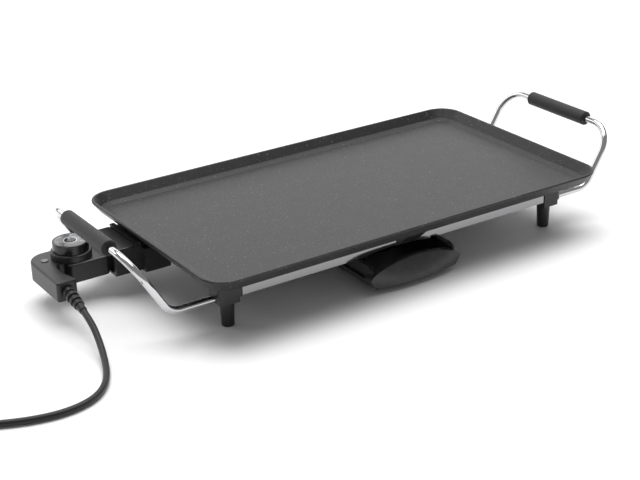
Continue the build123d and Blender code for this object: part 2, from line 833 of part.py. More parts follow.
with BuildPart() as case_lower:
    extrude(control_outline(control_bottom, 0), amount=control_seam - control_bottom)
    fillet(case_lower.faces().sort_by(Axis.Z)[0].outer_wire().edges(), radius=1.5)
    extrude(
        control_outline(control_bottom + control_wall, control_wall),
        amount=control_seam,
        mode=Mode.SUBTRACT,
    )
    with Locations((arm_end_x - 6, port_y, nose_bottom)):
        Box(
            nose_end_x - arm_end_x + 6,
            2 * nose_half_width,
            control_seam - nose_bottom,
            align=(Align.MIN, Align.CENTER, Align.MIN),
        )
    with BuildSketch(Plane.XY.offset(control_bottom + control_wall)):
        with Locations(*case_screw_places):
            Circle(post_radius)
    extrude(amount=control_seam - control_bottom - control_wall)
    with BuildSketch(Plane.XY.offset(control_bottom - 1)):
        with Locations(*case_screw_places):
            Circle(case_screw_radius + screw_gap)
    extrude(amount=control_seam, mode=Mode.SUBTRACT)
    with BuildSketch(Plane.XY.offset(control_bottom - 1)):
        with Locations(*case_screw_places):
            Circle(case_screw_head_radius + screw_gap)
    extrude(amount=case_screw_head + 1, mode=Mode.SUBTRACT)
    with BuildSketch(Plane.XZ.offset(-control_front_y - control_wall - 1)):
        with Locations((relief_x, relief_z + relief_hole_rise)):
            Circle(relief_hole_radius)
    extrude(amount=control_wall + 2, mode=Mode.SUBTRACT)
save(case_lower, "control_case_lower")

with BuildPart() as case_upper:
    extrude(control_outline(control_seam, 0), amount=control_top - control_seam)
    fillet(case_upper.faces().sort_by(Axis.Z)[-1].outer_wire().edges(), radius=2.0)
    extrude(
        control_outline(control_seam - 1, control_wall),
        amount=control_top - control_wall - control_seam + 1,
        mode=Mode.SUBTRACT,
    )
    with Locations((arm_end_x - 6, port_y, control_seam)):
        Box(
            nose_end_x - arm_end_x + 6,
            2 * nose_half_width,
            control_top - control_seam,
            align=(Align.MIN, Align.CENTER, Align.MIN),
        )
    with BuildSketch(Plane.XY.offset(control_seam)):
        with Locations(*case_screw_places):
            Circle(post_radius)
    extrude(amount=control_top - control_seam - 0.5)
    with BuildSketch(Plane.XY.offset(control_seam - 1)):
        with Locations(*case_screw_places):
            Circle(case_screw_radius + screw_gap)
    extrude(amount=control_top - control_seam - 1, mode=Mode.SUBTRACT)
    # shaft bush and lamp hole
    with BuildSketch(Plane.XY.offset(control_seam - 1)):
        with Locations((knob_x, knob_y)):
            Circle(shaft_radius + slide_gap)
        with Locations((lamp_x, lamp_y)):
            Circle(lamp_stem_radius + screw_gap)
    extrude(amount=control_top, mode=Mode.SUBTRACT)
    with BuildSketch(Plane.XZ.offset(-control_front_y - control_wall - 1)):
        with Locations((relief_x, relief_z + relief_hole_rise)):
            Circle(relief_hole_radius)
    extrude(amount=control_wall + 2, mode=Mode.SUBTRACT)
    # passages for the two terminal sockets and the probe
    with BuildSketch(Plane.YZ.offset(nose_end_x + 1)):
        for row in (lower_row, upper_row):
            with Locations((row, port_height)):
                Circle(socket_radius + socket_wall + 0.05)
        with Locations((port_y, port_height)):
            Circle(probe_radius + 0.05)
    extrude(amount=-(nose_end_x - arm_end_x + 8), mode=Mode.SUBTRACT)
save(case_upper, "control_case_upper")

recess_span = 3.2
recess_slot = 0.7
recess_depth = 0.9
with BuildPart() as case_screws:
    with BuildSketch(Plane.XY.offset(control_bottom + 0.2)):
        with Locations(*case_screw_places):
            Circle(case_screw_head_radius)
    extrude(amount=case_screw_head - 0.2)
    with BuildSketch(Plane.XY.offset(control_bottom + case_screw_head)):
        with Locations(*case_screw_places):
            Circle(case_screw_radius)
    extrude(amount=control_top - control_bottom - case_screw_head - 3)
    with BuildSketch(Plane.XY.offset(control_bottom + 0.2)):
        with Locations(*case_screw_places):
            Rectangle(recess_span, recess_slot)
            Rectangle(recess_slot, recess_span)
    extrude(amount=recess_depth, mode=Mode.SUBTRACT)
save(case_screws, "control_case_screws")

socket_tail = 0.0
with BuildPart() as terminal_sockets:
    with BuildSketch(Plane.YZ.offset(nose_end_x - 0.5)):
        for row in (lower_row, upper_row):
            with Locations((row, port_height)):
                Circle(socket_radius + socket_wall)
    extrude(amount=-(nose_end_x - arm_end_x + 6 + socket_tail))
    with BuildSketch(Plane.YZ.offset(nose_end_x)):
        for row in (lower_row, upper_row):
            with Locations((row, port_height)):
                Circle(socket_radius)
    extrude(amount=-(pin_length + 2), mode=Mode.SUBTRACT)
save(terminal_sockets, "terminal_sockets")

probe_tip_x = plate_x - probe_tip_dx
probe_tail_x = arm_end_x - 6.5
with BuildPart() as probe_rod:
    with BuildSketch(Plane.YZ.offset(probe_tail_x)):
        with Locations((port_y, port_height)):
            Circle(probe_radius)
    extrude(amount=probe_tip_x - probe_tail_x)
    fillet(probe_rod.edges().group_by(Axis.X)[-1], radius=1.6)
save(probe_rod, "sensing_probe")

# ------------------------------------------------------------------ dial, knob and shaft

dial_ring_bore = 9.0
with BuildPart() as dial_ring:
    with BuildSketch(Plane.XY.offset(control_top)):
        with Locations((knob_x, knob_y)):
            Circle(dial_ring_radius)
    extrude(amount=dial_ring_height)
    top_edge = dial_ring.edges().filter_by(GeomType.CIRCLE).group_by(Axis.Z)[-1]
    bottom_edge = dial_ring.edges().filter_by(GeomType.CIRCLE).group_by(Axis.Z)[0]
    fillet(top_edge, radius=1.4)
    chamfer(bottom_edge, length=0.6)
    with BuildSketch(Plane.XY.offset(control_top)):
        with Locations((knob_x, knob_y)):
            Circle(dial_ring_bore)
    extrude(amount=dial_ring_height, mode=Mode.SUBTRACT)
save(dial_ring, "dial_ring")

knob_bottom = control_top + dial_ring_height + seat_gap
knob_top = knob_bottom + knob_height
dial_disc_radius = knob_radius - 2.0
dial_disc_thickness = 0.8
dial_cap_radius = 5.2
hub_radius = 6.0
hub_drop = 5.0
with BuildPart() as knob:
    with BuildSketch(Plane.XY.offset(knob_bottom)):
        with Locations((knob_x, knob_y)):
            Circle(knob_radius)
    extrude(amount=knob_height, taper=2.0)
    fillet(knob.edges().filter_by(GeomType.CIRCLE).group_by(Axis.Z)[-1], radius=0.7)
    with BuildSketch(Plane.XY.offset(knob_bottom)):
        with Locations((knob_x, knob_y)):
            Circle(hub_radius)
    extrude(amount=-hub_drop)
    with BuildSketch(Plane.XY.offset(knob_top)):
        with Locations((knob_x, knob_y)):
            Circle(dial_disc_radius)
    extrude(amount=-dial_disc_thickness, mode=Mode.SUBTRACT)
    with BuildSketch(Plane.XY.offset(knob_bottom - hub_drop)):
        with Locations((knob_x, knob_y)):
            Circle(shaft_radius + 0.05)
    extrude(amount=hub_drop + 5, mode=Mode.SUBTRACT)
save(knob, "knob")

with BuildPart() as dial_disc:
    with BuildSketch(Plane.XY.offset(knob_top - dial_disc_thickness)):
        with Locations((knob_x, knob_y)):
            Circle(dial_disc_radius - 0.1)
            Circle(dial_cap_radius + 0.1, mode=Mode.SUBTRACT)
    extrude(amount=dial_disc_thickness)
save(dial_disc, "dial_disc")

with BuildPart() as dial_cap:
    with BuildSketch(Plane.XY.offset(knob_top - dial_disc_thickness)):
        with Locations((knob_x, knob_y)):
            Circle(dial_cap_radius)
    extrude(amount=dial_disc_thickness + 0.5)
    fillet(dial_cap.edges().group_by(Axis.Z)[-1], radius=0.4)
save(dial_cap, "dial_cap")

cam_radius = 6.5
cam_bottom = 33.0
with BuildPart() as knob_shaft:
    with BuildSketch(Plane.XY.offset(cam_bottom)):
        with Locations((knob_x, knob_y)):
            Circle(cam_radius)
    extrude(amount=2)
    with BuildSketch(Plane.XY.offset(cam_bottom)):
        with Locations((knob_x, knob_y)):
            Circle(shaft_radius)
    extrude(amount=knob_bottom + 4.5 - cam_bottom)
save(knob_shaft, "knob_shaft")

# ------------------------------------------------------------------ inside the control

blade_width = 5.0
blade_sheet = 0.5
blade_length = 26.0
blade_root_x = knob_x + 9.0
blade_heights = (28.8, 31.2)
contact_radius = 1.6
contact_height = 0.8
contact_inset = 3.0  # contacts from the free ends of the blades
with BuildPart() as contact_blades:
    for blade_z in blade_heights:
        with Locations((blade_root_x, port_y, blade_z)):
            Box(
                blade_length,
                blade_width,
                blade_sheet,
                align=(Align.MAX, Align.CENTER, Align.MIN),
            )
    with BuildSketch(Plane.XY.offset(blade_heights[0] + blade_sheet)):
        with Locations((blade_root_x - blade_length + contact_inset, port_y)):
            Circle(contact_radius)
    extrude(amount=contact_height)
    with BuildSketch(Plane.XY.offset(blade_heights[1])):
        with Locations((blade_root_x - blade_length + contact_inset, port_y)):
            Circle(contact_radius)
    extrude(amount=-contact_height)
save(contact_blades, "contact_blades")

mount_length = 5.0
mount_width = 9.0
mount_height = 7.5
mount_gap = 0.1  # ceramic pieces stand this far off the case and the blades
case_floor = control_bottom + control_wall
with BuildPart() as blade_mount:
    with Locations((blade_root_x + mount_gap, port_y, case_floor + mount_gap)):
        Box(mount_length, mount_width, mount_height, align=(Align.MIN, Align.CENTER, Align.MIN))
save(blade_mount, "blade_mount")

block_y = 30.0
block_x = relief_x - 1.5
block_size = 8.0
block_screw_radius = 1.5
block_screw_depth = 4.0
with BuildPart() as terminal_block:
    with Locations((block_x, block_y, case_floor + mount_gap)):
        Box(
            block_size,
            2 * block_size,
            block_size,
            align=(Align.CENTER, Align.CENTER, Align.MIN),
        )
    with BuildSketch(Plane.XY.offset(case_floor + mount_gap + block_size)):
        with Locations((block_x, block_y)):
            with GridLocations(1, block_size, 1, 2):
                Circle(block_screw_radius)
    extrude(amount=-block_screw_depth, mode=Mode.SUBTRACT)
save(terminal_block, "terminal_block")

bulb_bottom = 28.5
bulb_length = 9.0
bulb_radius = 2.2
with BuildPart() as neon_lamp:
    with BuildSketch(Plane.XY.offset(bulb_bottom)):
        with Locations((lamp_x, lamp_y)):
            Circle(bulb_radius)
    extrude(amount=bulb_length)
    fillet(neon_lamp.edges().filter_by(GeomType.CIRCLE), radius=0.9)
save(neon_lamp, "neon_lamp")

with BuildPart() as indicator_lens:
    with BuildSketch(Plane.XY.offset(control_top)):
        with Locations((lamp_x, lamp_y)):
            Circle(lamp_radius)
    extrude(amount=0.7)
    fillet(indicator_lens.edges().group_by(Axis.Z)[-1], radius=0.5)
    with BuildSketch(Plane.XY.offset(control_top)):
        with Locations((lamp_x, lamp_y)):
            Circle(lamp_stem_radius)
    extrude(amount=-4)
save(indicator_lens, "indicator_lens")

# ------------------------------------------------------------------ strain relief

relief_lean = (0, -cos(radians(relief_drop)), -sin(radians(relief_drop)))
relief_start = (relief_x, control_front_y, relief_z)
relief_plane = Plane(
    relief_start,
    x_dir=(1, 0, 0),
    z_dir=(0, sin(radians(relief_drop)), -cos(radians(relief_drop))),
)
# ribs as (start along the axis, end along the axis, radius)
relief_ribs = [(2.0, 5.0, 5.7), (8.0, 11.4, 6.0), (14.4, 17.8, 5.6), (20.8, 23.8, 5.0)]
relief_end_radius = cord_diameter / 2 + 0.6
with BuildPart() as strain_relief:
    with BuildSketch(relief_plane):
        with BuildLine():
            Polyline(
                (0, -5.4),
                (relief_neck_radius + 1.2, -5.4),
                (relief_neck_radius + 1.2, -3.7),
                (relief_neck_radius, -3.7),
                (relief_neck_radius - 0.2, 12),
                (relief_end_radius, relief_length),
                (0, relief_length),
                close=True,
            )
        make_face()
        for start, end, radius in relief_ribs:
            with Locations((radius / 2, (start + end) / 2)):
                Rectangle(radius, end - start)
    revolve(axis=Axis(relief_start, relief_lean))
save(strain_relief, "strain_relief")

# ------------------------------------------------------------------ mains lead

cord_radius = cord_diameter / 2
lead_route = [
    (-295.15, -27.05, 25.76),
    (-295.9, -45.0, 21.2),
    (-299.0, -64.5, 13.4),
    (-304.5, -85.5, 6.0),
    (-313.0, -107.5, 3.4),
    (-325.0, -127.0, 3.4),
    (-343.0, -141.0, 3.4),
    (-369.0, -146.0, 3.4),
    (-397.0, -141.0, 3.4),
    (-423.0, -130.0, 3.4),
    (-448.0, -117.5, 3.4),
    (-472.0, -108.2, 4.3),
]
tail_route = [
    (-495.3, -73.0, 10.7),
    (-495.6, -54.0, 8.0),
    (-493.0, -35.0, 5.2),
    (-489.0, -17.0, 8.0),
    (-486.5, 3.0, 12.0),
]
coil_centre = (-457.0, -73.0)
coil_floor = 1.05  # the tie's thickness lifts the coil off the table
turn_pitch = cord_diameter + 0.2


def bend_radii(points):
    """Radius at each inner point: 0.45 of the shorter run over the half turn's tangent."""
    radii = []
    for before, here, after in zip(points, points[1:], points[2:]):
        run_in = Vector(here) - Vector(before)
        run_out = Vector(after) - Vector(here)
        half_turn = radians(run_in.get_angle(run_out)) / 2
        radii.append(0.45 * min(run_in.length, run_out.length) / tan(half_turn))
    return radii


for route, name in [(lead_route, "cord_lead"), (tail_route, "cord_tail")]:
    radii = bend_radii(route)
    with BuildPart() as cord:
        with BuildLine() as cord_path:
            FilletPolyline(*route, radius=radii)
        with BuildSketch(Plane(cord_path.line @ 0, z_dir=cord_path.line % 0)):
            Circle(cord_radius)
        sweep()
    cord_length = cord_path.wires()[0].length
    expected = pi * cord_radius**2 * cord_length
    print(name, "radii", [round(radius, 1) for radius in radii])
    print(name, "length", round(cord_length, 1))
    print(name, "volume share", round(cord.part.volume / expected, 4))
    save(cord, name)

coil_inner_radius = coil_mean_radius - coil_rows * turn_pitch / 2
coil_outer_radius = coil_mean_radius + coil_rows * turn_pitch / 2
coil_height = coil_layers * turn_pitch
with BuildPart() as cord_coil:
    with BuildSketch(Plane.XY.offset(coil_floor)):
        with Locations(coil_centre):
            Circle(coil_outer_radius)
            Circle(coil_inner_radius, mode=Mode.SUBTRACT)
    extrude(amount=coil_height)
    fillet(cord_coil.edges().filter_by(GeomType.CIRCLE), radius=2.4)
save(cord_coil, "cord_coil")

tie_angle = 100.0
tie_width = 6.0
tie_sheet = 0.9
tie_gap = 0.15
tie_x = coil_centre[0] + coil_mean_radius * cos(radians(tie_angle))
tie_y = coil_centre[1] + coil_mean_radius * sin(radians(tie_angle))
tie_across = coil_outer_radius - coil_inner_radius + 2 * tie_gap + 0.3
with BuildPart() as cord_tie:
    with BuildSketch(Plane((tie_x, tie_y, coil_floor - tie_gap - tie_sheet + 0.1))):
        Rectangle(tie_across + 2 * tie_sheet, tie_width, rotation=tie_angle)
    extrude(amount=coil_height + 2 * tie_gap + 2 * tie_sheet)
    with BuildSketch(Plane((tie_x, tie_y, coil_floor - tie_gap + 0.1))):
        Rectangle(tie_across, tie_width + 2, rotation=tie_angle)
    extrude(amount=coil_height + 2 * tie_gap, mode=Mode.SUBTRACT)
save(cord_tie, "cord_tie")

# two-pin earthed plug, lying flat
plug_x = -486.0
plug_z = 13.0
plug_tail_y = 2.5
plug_relief_length = 24.0
plug_taper_length = 18.0
plug_grip_length = 15.0
plug_neck_size = (20, 17)
plug_neck_corner = 8
plug_grip_size = (36, 25)
plug_grip_corner = 12
plug_pin_radius = 2.4
plug_root_radius = 1.9  # the part of a pin inside the body
plug_pin_spacing = 19.0
plug_pin_length = 19.0
plug_root_length = 8.0


def plug_plane(y):
    """Plane across the plug at a given Y, facing its pins."""
    return Plane((plug_x, y, plug_z), x_dir=(-1, 0, 0), z_dir=(0, 1, 0))


plug_body_y = plug_tail_y + plug_relief_length
plug_face_y = plug_body_y + plug_taper_length + plug_grip_length
with BuildPart() as plug_relief:
    with BuildSketch(plug_plane(plug_tail_y)):
        Circle(cord_radius + 0.5)
    with BuildSketch(plug_plane(plug_body_y)):
        Circle(6.0)
    loft()
    for ring_y in (7.0, 12.5, 18.0):
        share = ring_y / plug_relief_length
        with BuildSketch(plug_plane(plug_tail_y + ring_y)):
            Circle(cord_radius + 1.3 + 2.4 * share)
        extrude(amount=2.6)
save(plug_relief, "plug_relief")

with BuildPart() as plug_body:
    with BuildSketch(plug_plane(plug_body_y)):
        RectangleRounded(*plug_neck_size, plug_neck_corner)
    with BuildSketch(plug_plane(plug_body_y + plug_taper_length)):
        RectangleRounded(*plug_grip_size, plug_grip_corner)
    loft()
    with BuildSketch(plug_plane(plug_body_y + plug_taper_length)):
        RectangleRounded(*plug_grip_size, plug_grip_corner)
    extrude(amount=plug_grip_length)
    fillet(plug_body.edges().group_by(Axis.Y)[-1], radius=1.5)
    with BuildSketch(plug_plane(plug_face_y)):
        with GridLocations(plug_pin_spacing, 1, 2, 1):
            Circle(plug_root_radius + 0.05)
    extrude(amount=-plug_root_length, mode=Mode.SUBTRACT)
save(plug_body, "plug_body")

with BuildPart() as plug_pins:
    with BuildSketch(plug_plane(plug_face_y - plug_root_length)):
        with GridLocations(plug_pin_spacing, 1, 2, 1):
            Circle(plug_root_radius)
    extrude(amount=plug_root_length + plug_pin_length / 2)
    with BuildSketch(plug_plane(plug_face_y + seat_gap)):
        with GridLocations(plug_pin_spacing, 1, 2, 1):
            Circle(plug_pin_radius)
    extrude(amount=plug_pin_length - seat_gap)
    fillet(plug_pins.edges().group_by(Axis.Y)[-1], radius=1.4)
save(plug_pins, "plug_pins")
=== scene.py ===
"""Looks of the electric griddle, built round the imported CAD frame. Lengths are in metres."""

from math import cos, pi, radians, sin, tau

import bpy
from mathutils import Matrix, Vector


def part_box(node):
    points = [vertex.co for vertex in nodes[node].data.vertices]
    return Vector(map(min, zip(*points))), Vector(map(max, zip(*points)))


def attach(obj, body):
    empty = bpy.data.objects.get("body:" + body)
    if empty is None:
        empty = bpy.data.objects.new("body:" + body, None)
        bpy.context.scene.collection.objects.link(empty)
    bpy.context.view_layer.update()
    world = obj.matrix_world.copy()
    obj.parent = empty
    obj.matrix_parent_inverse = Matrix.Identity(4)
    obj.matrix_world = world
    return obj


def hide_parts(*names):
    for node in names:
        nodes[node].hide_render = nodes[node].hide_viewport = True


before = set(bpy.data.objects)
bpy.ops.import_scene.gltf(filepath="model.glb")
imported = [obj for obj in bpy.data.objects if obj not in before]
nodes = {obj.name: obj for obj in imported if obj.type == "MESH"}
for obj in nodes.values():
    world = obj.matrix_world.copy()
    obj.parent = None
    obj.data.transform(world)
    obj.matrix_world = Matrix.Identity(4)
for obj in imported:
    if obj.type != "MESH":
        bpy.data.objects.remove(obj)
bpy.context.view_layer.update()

# ------------------------------------------------------------------ camera

CAMERA_PLACE = (-0.76065, -1.1272, 0.6147)
CAMERA_AZIMUTH = -33.288
CAMERA_ELEVATION = 24.052
CAMERA_ROLL = -1.343
CAMERA_LENS = 81.96

camera_data = bpy.data.cameras.new("camera")
camera_data.lens = CAMERA_LENS
camera = bpy.data.objects.new("camera", camera_data)
bpy.context.collection.objects.link(camera)
camera.matrix_world = (
    Matrix.Translation(CAMERA_PLACE)
    @ Matrix.Rotation(radians(CAMERA_AZIMUTH), 4, "Z")
    @ Matrix.Rotation(radians(90 - CAMERA_ELEVATION), 4, "X")
    @ Matrix.Rotation(radians(CAMERA_ROLL), 4, "Z")
)
bpy.context.scene.camera = camera
bpy.context.scene.view_settings.view_transform = "Standard"


# ------------------------------------------------------------------ material helpers

MM = 0.001


class Look:
    """A node material on one Principled shader, with helpers for procedural detail."""

    def __init__(self, name, color, roughness, metallic=0.0, specular=0.5):
        self.material = bpy.data.materials.new(name)
        self.material.use_nodes = True
        self.tree = self.material.node_tree
        self.shader = self.tree.nodes["Principled BSDF"]
        self.shader.inputs["Base Color"].default_value = (*color, 1)
        self.shader.inputs["Roughness"].default_value = roughness
        self.shader.inputs["Metallic"].default_value = metallic
        self.shader.inputs["Specular IOR Level"].default_value = specular
        place = self.tree.nodes.new("ShaderNodeTexCoord")
        self.place = place.outputs["Object"]

    def link(self, output, node, name):
        self.tree.links.new(output, node.inputs[name])

    def stretched(self, factors):
        """Object coordinates scaled along each axis, for grain that runs one way."""
        mapping = self.tree.nodes.new("ShaderNodeMapping")
        mapping.inputs["Scale"].default_value = factors
        self.link(self.place, mapping, "Vector")
        return mapping.outputs["Vector"]

    def noise(self, size, detail=2.0, vector=None):
        """Noise whose blobs are about size metres across."""
        node = self.tree.nodes.new("ShaderNodeTexNoise")
        node.inputs["Scale"].default_value = 1 / size
        node.inputs["Detail"].default_value = detail
        self.link(vector or self.place, node, "Vector")
        return node.outputs["Fac"]

    def cells(self, size):
        """Distance to the nearest of a scatter of points, and a random value per point."""
        node = self.tree.nodes.new("ShaderNodeTexVoronoi")
        node.inputs["Scale"].default_value = 1 / size
        self.link(self.place, node, "Vector")
        apart = self.tree.nodes.new("ShaderNodeSeparateColor")
        self.link(node.outputs["Color"], apart, "Color")
        return node.outputs["Distance"], apart.outputs["Red"]

    def ramp(self, factor, low, high, first=0.0, last=1.0):
        """Maps factor from low..high to first..last, clamped."""
        node = self.tree.nodes.new("ShaderNodeMapRange")
        node.inputs["From Min"].default_value = low
        node.inputs["From Max"].default_value = high
        node.inputs["To Min"].default_value = first
        node.inputs["To Max"].default_value = last
        self.link(factor, node, "Value")
        return node.outputs["Result"]

    def product(self, one, other):
        node = self.tree.nodes.new("ShaderNodeMath")
        node.operation = "MULTIPLY"
        self.tree.links.new(one, node.inputs[0])
        self.tree.links.new(other, node.inputs[1])
        return node.outputs["Value"]

    def mix(self, factor, dark, light):
        """Colour between dark and light; either may be a colour or a node output."""
        node = self.tree.nodes.new("ShaderNodeMix")
        node.data_type = "RGBA"
        self.tree.links.new(factor, node.inputs[0])
        for value, socket in ((dark, node.inputs[6]), (light, node.inputs[7])):
            if isinstance(value, tuple):
                socket.default_value = (*value, 1)
            else:
                self.tree.links.new(value, socket)
        return node.outputs[2]

    def color(self, output):
        self.link(output, self.shader, "Base Color")

    def roughness(self, output):
        self.link(output, self.shader, "Roughness")

    def bump(self, height, depth, strength=1.0):
        """Adds height, from 0 to 1, as relief that is depth metres deep."""
        node = self.tree.nodes.new("ShaderNodeBump")
        node.inputs["Strength"].default_value = strength
        node.inputs["Distance"].default_value = depth
        self.link(height, node, "Height")
        earlier = self.shader.inputs["Normal"].links
        if earlier:
            self.link(earlier[0].from_socket, node, "Normal")
        self.link(node.outputs["Normal"], self.shader, "Normal")


def grey(shade, blue=1.0):
    """Neutral colour of that shade, with its blue part multiplied by blue."""
    return (shade, shade, shade * blue)


def paint(look, *names):
    """Gives the look to CAD nodes by name."""
    for name in names:
        node = nodes[name]
        node.data.materials.clear()
        node.data.materials.append(look.material)


# ------------------------------------------------------------------ materials


# spacing, radius as a share of the spacing, share of the points that show, shade
FLECKS = [
    (1.7 * MM, 0.20, 0.50, 0.05),
    (2.6 * MM, 0.16, 0.40, 0.13),
    (4.6 * MM, 0.10, 0.30, 0.24),
]
FLECK_EDGE = 0.03
CHANCE_EDGE = 0.02
PLASTIC_BLUE = 1.03


def coating_look():
    """Stone-effect non-stick coating: charcoal with three sizes of pale fleck."""
    look = Look("coating", (0.009, 0.009, 0.0095), 0.4, specular=0.5)
    cloud = look.ramp(look.noise(18 * MM, 4), 0.3, 0.7)
    ground = look.mix(cloud, (0.0065, 0.0065, 0.007), (0.011, 0.011, 0.0115))
    for size, reach, share, shade in FLECKS:
        distance, chance = look.cells(size)
        small = look.ramp(distance, reach + FLECK_EDGE, reach - FLECK_EDGE)
        chosen = look.ramp(chance, share + CHANCE_EDGE, share - CHANCE_EDGE)
        ground = look.mix(look.product(small, chosen), ground, grey(shade))
    look.color(ground)
    look.roughness(look.ramp(look.noise(0.9 * MM, 3), 0.3, 0.7, 0.36, 0.5))
    look.bump(look.noise(0.7 * MM, 3), 0.03 * MM, 0.6)
    return look


def plastic_look(name, shade, roughness, grain=0.35):
    """Moulded plastic with a fine spark-eroded grain, grain millimetres across."""
    look = Look(name, grey(shade, PLASTIC_BLUE), roughness)
    cloud = look.ramp(look.noise(9 * MM, 3), 0.3, 0.7)
    dark = grey(shade * 0.85, PLASTIC_BLUE)
    light = grey(shade * 1.2, PLASTIC_BLUE)
    look.color(look.mix(cloud, dark, light))
    pits = look.noise(grain * MM, 2)
    look.roughness(look.ramp(pits, 0.3, 0.7, roughness - 0.06, roughness + 0.06))
    look.bump(pits, 0.02 * MM, 0.5)
    return look


def rubber_look(name, shade, roughness):
    """Soft matte rubber with a dusty sheen."""
    look = Look(name, grey(shade), roughness, specular=0.35)
    dust = look.ramp(look.noise(3 * MM, 5), 0.3, 0.75)
    look.color(look.mix(dust, grey(shade * 0.75), grey(shade * 1.35)))
    look.shader.inputs["Sheen Weight"].default_value = 0.15
    look.shader.inputs["Sheen Roughness"].default_value = 0.5
    look.bump(look.noise(0.4 * MM, 3), 0.03 * MM, 0.6)
    return look


def metal_look(name, color, roughness, stretch=None, depth=0.006):
    """Bare metal.

    With stretch it is brushed along the axis whose factor is small, depth millimetres
    deep; without it, it is plated and faintly smudged.
    """
    look = Look(name, color, roughness, metallic=1.0)
    if stretch:
        lines = look.noise(0.25 * MM, 3, look.stretched(stretch))
        look.roughness(look.ramp(lines, 0.3, 0.7, 0.8 * roughness, 1.3 * roughness))
        look.bump(lines, depth * MM, 0.8)
    else:
        smudge = look.noise(14 * MM, 3)
        look.roughness(look.ramp(smudge, 0.35, 0.75, roughness, roughness + 0.05))
    return look


paint(coating_look(), "griddle_plate")
chrome = metal_look("chrome", (0.62, 0.62, 0.63), 0.05)
paint(chrome, "handle_rod_left", "handle_rod_right")
brushed = metal_look("bright_sheet", (0.30, 0.30, 0.305), 0.08, (0.02, 1, 1), 0.001)
paint(brushed, "heat_reflector", "tray_rail_left", "tray_rail_right", "element_clamps")
paint(rubber_look("grip_rubber", 0.014, 0.62), "handle_grip_left", "handle_grip_right")
paint(
    plastic_look("foot_plastic", 0.012, 0.36),
    "foot_front_left",
    "foot_front_right",
    "foot_back_left",
    "foot_back_right",
)
paint(plastic_look("shroud_plastic", 0.014, 0.38), "connector_shroud")
# the drip tray's black plastic is drawn lighter than the other plastics: painted light
# standing in for the front light on its face
paint(plastic_look("tray_plastic", 0.035, 0.36, 0.5), "drip_tray")
paint(
    plastic_look("case_plastic", 0.016, 0.38),
    "control_case_lower",
    "control_case_upper",
    "dial_ring",
)
paint(plastic_look("knob_plastic", 0.010, 0.16), "knob")
paint(plastic_look("dial_face", 0.13, 0.2), "dial_disc")
paint(plastic_look("dial_centre", 0.008, 0.10), "dial_cap")
steel = metal_look("element_steel", (0.52, 0.52, 0.53), 0.3, (1, 0.05, 1))
paint(steel, "heating_element", "terminal_pins", "sensing_probe", "knob_shaft", "plug_pins")
paint(metal_look("cast_block", (0.5, 0.5, 0.51), 0.5), "sensor_block")
paint(metal_look("brass", (0.72, 0.52, 0.24), 0.28), "terminal_sockets", "contact_blades")
screw_steel = metal_look("screw_steel", (0.56, 0.56, 0.57), 0.27)
paint(screw_steel, "reflector_screws", "foot_screws", "shroud_screws", "control_case_screws")
paint(plastic_look("chute_enamel", 0.02, 0.3), "drain_chute")
ceramic = Look("ceramic", (0.72, 0.69, 0.62), 0.6)
ceramic.bump(ceramic.noise(0.5 * MM, 3), 0.02 * MM, 0.5)
ceramic.color(ceramic.mix(ceramic.noise(4 * MM), (0.66, 0.62, 0.54), (0.78, 0.75, 0.69)))
paint(ceramic, "terminal_insulators", "blade_mount", "terminal_block")
cord_look = rubber_look("cord_rubber", 0.009, 0.45)
paint(cord_look, "strain_relief", "plug_relief")
paint(plastic_look("plug_plastic", 0.014, 0.4), "plug_body")
paint(plastic_look("tie_plastic", 0.02, 0.5), "cord_tie")


def lens_look():
    """Smoke-tinted lens with fine facets; painted shade darkens each facet from its middle to
    its edges.
    """
    look = Look("lens", (0.05, 0.05, 0.052), 0.2)
    look.shader.inputs["Coat Weight"].default_value = 0.6
    facets, _ = look.cells(0.9 * MM)
    # painted shade: each facet's colour is lighter in its middle and darker towards its edges
    middle, edge = (0.07, 0.07, 0.072), (0.03, 0.03, 0.032)
    look.color(look.mix(look.ramp(facets, 0.0, 0.5), middle, edge))
    look.bump(facets, 0.05 * MM, 0.5)
    return look


paint(lens_look(), "indicator_lens")
glass = Look("lamp_glass", (0.95, 0.75, 0.6), 0.05)
glass.shader.inputs["Transmission Weight"].default_value = 0.9
glass.color(glass.mix(glass.noise(2 * MM), (0.98, 0.80, 0.66), (0.9, 0.66, 0.5)))
paint(glass, "neon_lamp")

# ------------------------------------------------------------------ mains lead

CORD_DIAMETER = 6.3 * MM
LEAD_ROUTE = [
    (-0.29515, -0.02705, 0.02576),
    (-0.2959, -0.045, 0.0212),
    (-0.299, -0.0645, 0.0134),
    (-0.3045, -0.0855, 0.006),
    (-0.313, -0.1075, 0.0034),
    (-0.325, -0.127, 0.0034),
    (-0.343, -0.141, 0.0034),
    (-0.369, -0.146, 0.0034),
    (-0.397, -0.141, 0.0034),
    (-0.423, -0.130, 0.0034),
    (-0.448, -0.1175, 0.0034),
]
TAIL_ROUTE = [
    (-0.4956, -0.054, 0.008),
    (-0.493, -0.035, 0.0052),
    (-0.489, -0.017, 0.008),
    (-0.4865, 0.003, 0.012),
]
COIL_CENTRE = (-0.457, -0.073)
COIL_OUTER = 38.25 * MM
COIL_PITCH = 6.5 * MM
COIL_LOW = 4.3 * MM
COIL_START = radians(246.9)
COIL_TURNS = 3 + 66.9 / 360
POINTS_PER_TURN = 16
# turns between which the cord steps in, up to the second row, and out again
STEP_IN = (0.75, 1.0)
STEP_UP = (1.6, 1.85)
STEP_OUT = (2.35, 2.6)


def eased(value, start, end):
    """Smooth step from 0 at start to 1 at end."""
    share = min(max((value - start) / (end - start), 0), 1)
    return share * share * (3 - 2 * share)


def coil_point(turn):
    """Point of the coil after that many turns: in along the floor, up, and out again."""
    inward = eased(turn, *STEP_IN) - eased(turn, *STEP_OUT)
    raised = eased(turn, *STEP_UP)
    angle = COIL_START - tau * turn
    radius = COIL_OUTER - COIL_PITCH * inward
    return (
        COIL_CENTRE[0] + radius * cos(angle),
        COIL_CENTRE[1] + radius * sin(angle),
        COIL_LOW + COIL_PITCH * raised,
    )


